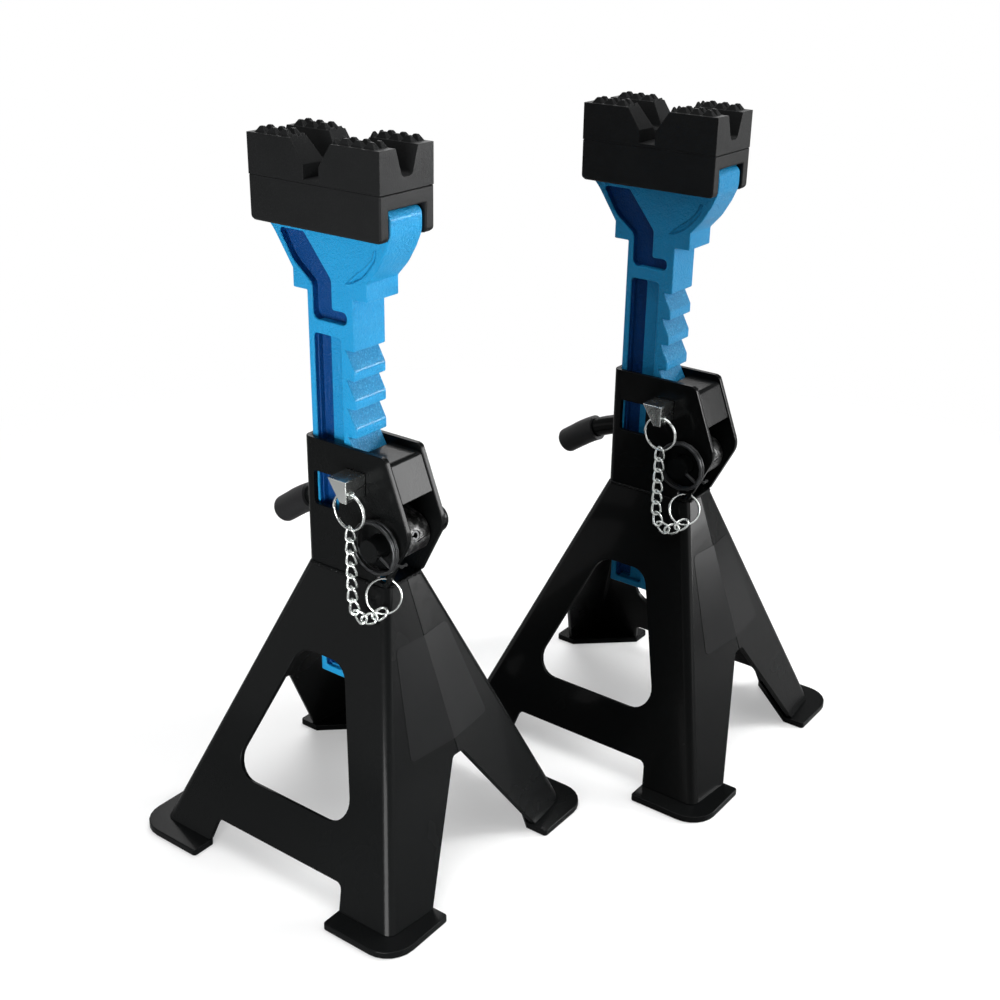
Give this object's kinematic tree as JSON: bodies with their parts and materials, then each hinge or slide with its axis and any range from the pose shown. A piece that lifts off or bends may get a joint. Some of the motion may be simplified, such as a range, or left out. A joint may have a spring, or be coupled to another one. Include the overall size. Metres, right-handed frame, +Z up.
{
  "type": "axle jack stands",
  "caption": "Pair of ratchet axle jack stands: pressed steel bases, toothed sliding columns with rubber saddle pads, pawl levers and chained safety pins.",
  "frame": {"origin": "on the floor, at the centre of the pair's box", "axes": "+Z up, +X to the toothed side of the columns, -Y to the safety pins, +Y from the front stand to the rear stand"},
  "size_m": [0.255, 0.367, 0.3838],
  "materials": {
    "frame_paint": "gloss",
    "column_paint": "satin",
    "pad_rubber": "matte",
    "pawl_steel": "satin",
    "lever_paint": "gloss",
    "grip_rubber": "matte",
    "spring_steel": "satin",
    "zinc_plate": "gloss"
  },
  "bodies": {
    "root": {"front_base_near": "frame_paint", "front_base_far": "frame_paint", "front_foot_plates": "frame_paint", "front_head_channel": "frame_paint", "front_head_cap": "frame_paint", "front_return_spring": "spring_steel", "front_chain": "zinc_plate", "front_anchor_ring": "zinc_plate", "rear_base_near": "frame_paint", "rear_base_far": "frame_paint", "rear_foot_plates": "frame_paint", "rear_head_channel": "frame_paint", "rear_head_cap": "frame_paint", "rear_return_spring": "spring_steel", "rear_chain": "zinc_plate", "rear_anchor_ring": "zinc_plate"},
    "front_column": {"front_column": "column_paint", "front_pad_carrier": "pad_rubber", "front_pad_tread": "pad_rubber"},
    "front_lever": {"front_pawl": "pawl_steel", "front_pawl_roll_pin": "pawl_steel", "front_lever": "lever_paint", "front_lever_grip": "grip_rubber"},
    "front_pin": {"front_safety_pin": "zinc_plate", "front_pin_ring": "zinc_plate"},
    "rear_column": {"rear_column": "column_paint", "rear_pad_carrier": "pad_rubber", "rear_pad_tread": "pad_rubber"},
    "rear_lever": {"rear_pawl": "pawl_steel", "rear_pawl_roll_pin": "pawl_steel", "rear_lever": "lever_paint", "rear_lever_grip": "grip_rubber"},
    "rear_pin": {"rear_safety_pin": "zinc_plate", "rear_pin_ring": "zinc_plate"}
  },
  "joints": [
    {"name": "front_column_slide", "type": "slide", "parent": "root", "child": "front_column", "axis": [0, 0, 1], "range_m": [-0.06, 0.03]},
    {"name": "front_lever_pivot", "type": "hinge", "parent": "root", "child": "front_lever", "pos_m": [-0.005, -0.0955, 0.184], "axis": [0, 1, 0], "range_deg": [0, 15], "deforming": ["front_return_spring"]},
    {"name": "front_pin_slide", "type": "slide", "parent": "root", "child": "front_pin", "axis": [0, -1, 0], "range_m": [0, 0.03], "deforming": ["front_chain"]},
    {"name": "rear_column_slide", "type": "slide", "parent": "root", "child": "rear_column", "axis": [0, 0, 1], "range_m": [-0.06, 0.03]},
    {"name": "rear_lever_pivot", "type": "hinge", "parent": "root", "child": "rear_lever", "pos_m": [0.061, 0.0955, 0.184], "axis": [0, 1, 0], "range_deg": [0, 15], "deforming": ["rear_return_spring"]},
    {"name": "rear_pin_slide", "type": "slide", "parent": "root", "child": "rear_pin", "axis": [0, -1, 0], "range_m": [0, 0.03], "deforming": ["rear_chain"]}
  ]
}
